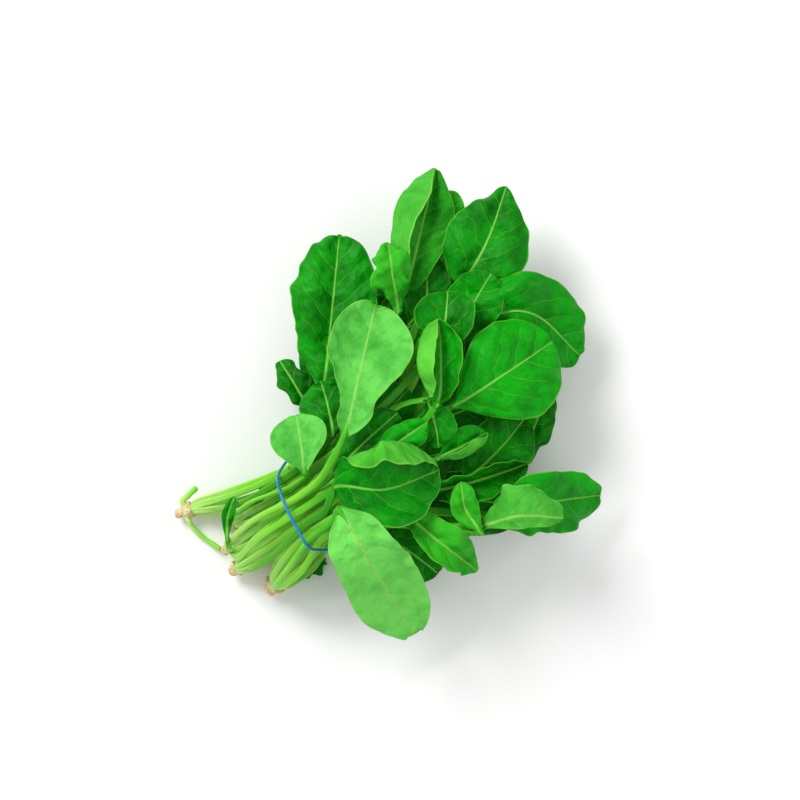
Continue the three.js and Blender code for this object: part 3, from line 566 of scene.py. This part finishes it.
# ---------------------------------------------------------------- the bunch
def crown_piece(name):
    """A root crown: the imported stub, rounded and roughened, with a ragged cut end."""
    points, faces = merged(nodes[name])
    mesh = bpy.data.meshes.new(name + "_stub")
    mesh.from_pydata(points.tolist(), [], faces)
    piece = bpy.data.objects.new(name + "_stub", mesh)
    scene.collection.objects.link(piece)
    work = bmesh.new()
    work.from_mesh(mesh)
    bmesh.ops.subdivide_edges(work, edges=work.edges, cuts=3, use_grid_fill=True, smooth=0.6)
    for vert in work.verts:
        x, y, z = vert.co * 1000
        bump = math.sin(x * 1.9 + z) * math.cos(y * 2.3 - z * 1.1)
        bump += 0.6 * math.sin(x * 4.1 + y * 3.3 + z * 5.0)
        vert.co += vert.normal * bump * 0.0003
    work.to_mesh(mesh)
    work.free()
    mesh.polygons.foreach_set("use_smooth", [True] * len(mesh.polygons))
    mesh.materials.append(CROWN)
    return piece


def stem_piece(name):
    """A cut stem: a round, slightly knotty tube through its packed sections, capped at both ends."""
    rings, _ = sections_of(nodes[name])
    centres = rings.mean(axis=1)
    radius = np.linalg.norm(rings - centres[:, None], axis=-1).mean()
    crown = merged(nodes["root_crown_1"])[0].mean(axis=0)
    if np.linalg.norm(centres[-1] - crown) < np.linalg.norm(centres[0] - crown):
        centres = centres[::-1]
    root = centres[0] * 0.35 + crown * 0.65  # it grows out of the outermost crown
    centres = np.concatenate([[root], centres])
    rows, sides = 40, 14
    t = np.linspace(0, len(centres) - 1, rows)
    line = spline(centres, t)
    run = unit(np.gradient(line, axis=0))
    side = unit(np.cross(run, [0.0, 0.0, 1.0]))
    up = np.cross(side, run)
    angles = np.arange(sides) / sides * TWO_PI
    swell = 1 + 0.07 * np.sin(t * 1.9)[:, None] + 0.05 * np.cos(4 * angles)[None]
    tube = (line[:, None] + side[:, None] * (radius * swell * np.cos(angles))[..., None]
            + up[:, None] * (radius * swell * np.sin(angles))[..., None])
    ends = [line[0] - run[0] * 0.0004, line[-1] + run[-1] * 0.0002]
    verts = np.concatenate([tube.reshape(-1, 3), ends])
    faces = grid_faces(rows, sides, 0, closed=True)
    for j in range(sides):
        k = (j + 1) % sides
        faces.append((rows * sides, j, k))
        faces.append((rows * sides + 1, (rows - 1) * sides + k, (rows - 1) * sides + j))
    length = np.concatenate([[0], np.cumsum(np.linalg.norm(np.diff(line, axis=0), axis=-1))])
    turn = (angles / TWO_PI)[None].repeat(rows, 0)
    flat = np.stack([length[:, None].repeat(sides, 1) * FLAT_SCALE, turn], -1)
    share = np.stack([(0.1 + 0.35 * t / t[-1])[:, None].repeat(sides, 1), np.zeros((rows, sides))], -1)
    layers = [np.concatenate([v.reshape(-1, 2), v[0, :1], v[-1, :1]]) for v in (flat, share)]
    return green_piece(name + "_piece", verts, faces, layers, 0.05, [0] * len(faces), [PETIOLE])


def tie_piece(name):
    """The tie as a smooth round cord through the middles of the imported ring's sections."""
    points, faces = merged(nodes[name])
    short = [set() for _ in points]
    for face in faces:
        for a, b in zip(face, face[1:] + face[:1]):
            if np.linalg.norm(points[a] - points[b]) < 0.00105:
                short[a].add(b)
                short[b].add(a)
    left, middles = set(range(len(points))), []
    while left:
        group, edge = set(), [left.pop()]
        while edge:
            v = edge.pop()
            group.add(v)
            edge += [w for w in short[v] if w in left]
            left -= short[v]
        middles.append(points[list(group)].mean(axis=0))
    middles = np.array(middles)
    away = middles - middles.mean(axis=0)
    _, _, axes = np.linalg.svd(away)
    order = np.argsort(np.arctan2(away @ axes[1], away @ axes[0]))
    curve = bpy.data.curves.new(name + "_cord", "CURVE")
    curve.dimensions, curve.bevel_depth, curve.bevel_resolution, curve.resolution_u = "3D", 0.00078, 4, 6
    line = curve.splines.new("BEZIER")
    line.bezier_points.add(len(order) - 1)
    for point, k in zip(line.bezier_points, order):
        point.co = middles[k]
        point.handle_left_type = point.handle_right_type = "AUTO"
    line.use_cyclic_u = True
    curve.materials.append(TIE)
    piece = bpy.data.objects.new(name + "_cord", curve)
    scene.collection.objects.link(piece)
    return piece


for number, name in enumerate(sorted(nodes)):
    if name.startswith("leaf_"):
        piece = leaf_piece(name, number)
    elif name.startswith("root_crown"):
        piece = crown_piece(name)
    elif name.startswith("stem_"):
        piece = stem_piece(name)
    else:
        piece = tie_piece(name)
    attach(piece, "root")
    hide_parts(name)

# ---------------------------------------------------------------- floor, light and camera
floor_mesh = bpy.data.meshes.new("floor")
floor_mesh.from_pydata([(-4, -4, 0), (4, -4, 0), (4, 4, 0), (-4, 4, 0)], [], [(0, 1, 2, 3)])
floor = bpy.data.objects.new("floor", floor_mesh)
floor.location.z = -0.0004
scene.collection.objects.link(floor)
floor_mesh.materials.append(floor_material("pale_floor"))

world = bpy.data.worlds.new("studio")
scene.world = world
world.use_nodes = True
world.node_tree.nodes["Background"].inputs[0].default_value = (1.0, 1.0, 1.0, 1.0)
world.node_tree.nodes["Background"].inputs[1].default_value = 0.62


def softbox(name, place, size, power):
    light = bpy.data.lights.new(name, "AREA")
    light.shape, light.size, light.energy = "SQUARE", size, power
    lamp = bpy.data.objects.new(name, light)
    lamp.location = place
    lamp.rotation_mode = "QUATERNION"
    lamp.rotation_quaternion = (Vector((0, 0, 0.03)) - Vector(place)).to_track_quat("-Z", "Y")
    scene.collection.objects.link(lamp)


softbox("key", (-0.7, 0.75, 1.0), 0.6, 15)
softbox("fill", (0.9, -0.3, 0.9), 0.9, 3)

camera = bpy.data.cameras.new("camera")
camera.lens, camera.sensor_width = 94.0, 36.0
camera.dof.use_dof = False
viewer = bpy.data.objects.new("camera", camera)
viewer.location = (0.008, 0.003, 1.185)
scene.collection.objects.link(viewer)
scene.camera = viewer
scene.view_settings.view_transform = "Standard"
